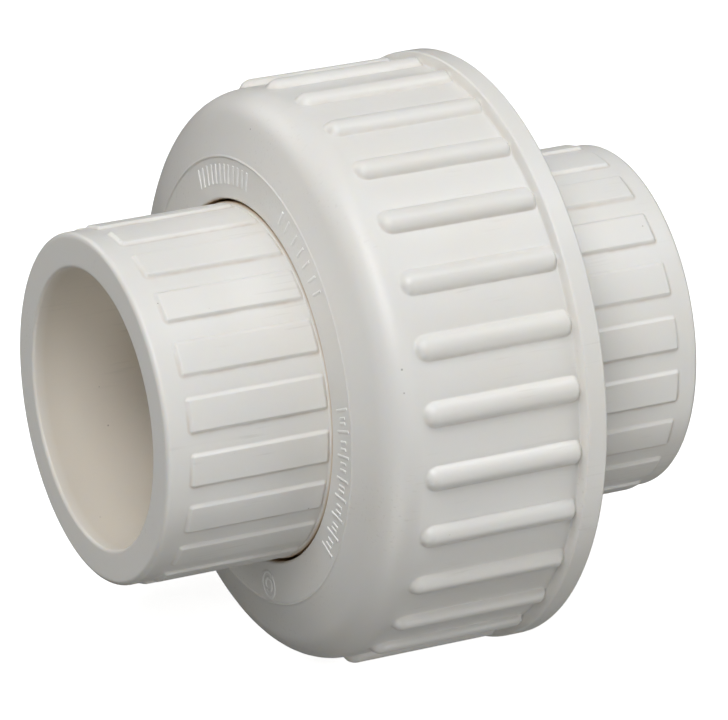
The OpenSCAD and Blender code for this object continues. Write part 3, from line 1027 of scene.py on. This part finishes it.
class PIPEUNION_OT_seal(bpy.types.Operator):
    """Builds the O-ring, squeezed flat between its groove and the tail piece"""

    bl_idname = "pipe_union.seal"
    bl_label = "Seal"

    def execute(self, context):
        middle = (RING_LOW.x + RING_HIGH.x) / 2
        squeezed = (RING_HIGH.x - RING_LOW.x) / 2
        centre = context.scene.union_barrels.seal_middle
        section = RING_HIGH.z - centre
        around, columns = 32, 192
        outline = []
        for k in range(around):
            turn = 2 * math.pi * k / around
            x = max(-squeezed, min(squeezed, section * math.cos(turn)))
            outline.append(Vector((middle + x, centre + section * math.sin(turn))))
        piece = turned("seal_ring", outline, [2 * math.pi * k / columns for k in range(columns)])
        piece.data.materials.append(moulded_rubber(context.scene.union_finish))
        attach(piece, "threaded")
        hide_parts("o_ring")
        return {"FINISHED"}


LAMP_DISTANCE = 1.0
LAMP_WIDTH = 0.55
# Lights: name, azimuth, elevation, power, colour
LIGHTS = (
    ("front_key", -30, 35, 3.76, (1.0, 1.0, 1.0)),
    ("high_key", -45, 58, 4.31, (0.99, 0.995, 1.0)),
    ("high_right", 45, 58, 2.23, (0.95, 0.98, 1.0)),
    ("right_fill", 60, 12, 1.62, (1.0, 1.0, 0.965)),
    ("low_left", -45, -40, 2.27, (1.0, 1.0, 0.975)),
    ("low_right", 45, -40, 1.82, (1.0, 1.0, 0.985)),
    ("back_left", -150, 35, 2.29, (1.0, 0.98, 0.95)),
    ("low_back", -150, -12, 0.37, (1.0, 1.0, 0.94)),
)


def aimed(azimuth, elevation, distance):
    """A place round the object: azimuth 0 is at -Y and 90 at +X."""
    a, e = math.radians(azimuth), math.radians(elevation)
    return Vector((math.sin(a) * math.cos(e), -math.cos(a) * math.cos(e), math.sin(e))) * distance


class PIPEUNION_OT_stage(bpy.types.Operator):
    """Builds the floor, the lights, the white surround and the camera"""

    bl_idname = "pipe_union.stage"
    bl_label = "Stage"

    def execute(self, context):
        scene = context.scene
        sizes = scene.union_stage
        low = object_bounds()[0]
        reach = 6.0
        mesh = bpy.data.meshes.new("floor")
        corners = ((-reach, -reach), (reach, -reach), (reach, reach), (-reach, reach))
        mesh.from_pydata([(x, y, low.z) for x, y in corners], [], [(0, 1, 2, 3)])
        floor = link("floor", mesh)
        made, net, shader = new_material("pale_floor")
        net.feed(shader.inputs["Base Color"], (*sizes.floor, 1.0))
        shader.inputs["Roughness"].default_value = 0.9
        shader.inputs["Emission Color"].default_value = (1.0, 1.0, 1.0, 1.0)
        shader.inputs["Emission Strength"].default_value = 0.8
        mesh.materials.append(made)
        # only the camera sees the floor, so the two low lamps shine through it
        floor.visible_diffuse = False
        floor.visible_glossy = False
        floor.visible_shadow = False
        floor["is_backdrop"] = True

        world = bpy.data.worlds.new("white_surround")
        scene.world = world
        world.use_nodes = True
        world.node_tree.nodes["Background"].inputs[0].default_value = (1.0, 1.0, 1.0, 1.0)
        world.node_tree.nodes["Background"].inputs[1].default_value = 1.0
        world.cycles_visibility.diffuse = False
        world.cycles_visibility.glossy = False
        scene.view_settings.view_transform = "Standard"

        for name, azimuth, elevation, power, tone in LIGHTS:
            lamp = bpy.data.lights.new(name, "AREA")
            lamp.shape = "DISK"
            lamp.size = LAMP_WIDTH
            lamp.energy = power
            lamp.color = tone
            holder = link(name, lamp)
            holder.location = aimed(azimuth, elevation, LAMP_DISTANCE)
            holder.rotation_euler = holder.location.to_track_quat("Z", "Y").to_euler()
            holder.visible_camera = False

        data = bpy.data.cameras.new("camera")
        camera = link("camera", data)
        back = aimed(math.degrees(sizes.azimuth), math.degrees(sizes.elevation), 1.0)
        right = Vector((math.cos(sizes.azimuth), math.sin(sizes.azimuth), 0.0))
        up = back.cross(right)
        c, s = math.cos(sizes.roll), math.sin(sizes.roll)
        columns = (c * right + s * up, -s * right + c * up, back)
        place = Matrix(columns).transposed().to_4x4()
        place.translation = back * sizes.distance + Vector((sizes.aim, 0.0, 0.0))
        camera.matrix_world = place
        data.sensor_width = 36.0
        data.lens = sizes.lens
        data.shift_x = sizes.shift_x
        data.shift_y = sizes.shift_y
        data.clip_start = 0.05
        data.clip_end = 20.0
        scene.camera = camera
        return {"FINISHED"}


STEPS = (
    PIPEUNION_OT_tail_piece,
    PIPEUNION_OT_mouth_mark,
    PIPEUNION_OT_threaded_end,
    PIPEUNION_OT_threads,
    PIPEUNION_OT_union_nut,
    PIPEUNION_OT_nut_marks,
    PIPEUNION_OT_parting_lines,
    PIPEUNION_OT_seal,
    PIPEUNION_OT_stage,
)


class PIPEUNION_PT_panel(bpy.types.Panel):
    """Lists the steps that build the union, and its sizes"""

    bl_idname = "PIPEUNION_PT_panel"
    bl_label = "Pipe Union"
    bl_space_type = "VIEW_3D"
    bl_region_type = "UI"
    bl_category = "Pipe Union"

    def draw(self, context):
        for step in STEPS:
            self.layout.operator(step.bl_idname)
        for name, (label, group) in GROUPS.items():
            box = self.layout.box()
            box.label(text=label)
            for key in group.__annotations__:
                box.prop(getattr(context.scene, name), key)


GROUPS = {
    "union_barrels": ("Barrels", BarrelSizes),
    "union_nut": ("Union Nut", NutSizes),
    "union_thread": ("Threads", ThreadSizes),
    "union_finish": ("Finish", Finish),
    "union_stage": ("Stage", StageSizes),
}
CLASSES = tuple(group for label, group in GROUPS.values()) + STEPS + (PIPEUNION_PT_panel,)


def register():
    for kind in CLASSES:
        bpy.utils.register_class(kind)
    for name, (label, group) in GROUPS.items():
        setattr(bpy.types.Scene, name, bpy.props.PointerProperty(type=group, name=label))


def unregister():
    for name in GROUPS:
        delattr(bpy.types.Scene, name)
    for kind in reversed(CLASSES):
        bpy.utils.unregister_class(kind)


def main():
    register()
    for step in STEPS:
        family, name = step.bl_idname.split(".")
        getattr(getattr(bpy.ops, family), name)()


if __name__ == "__main__":
    main()
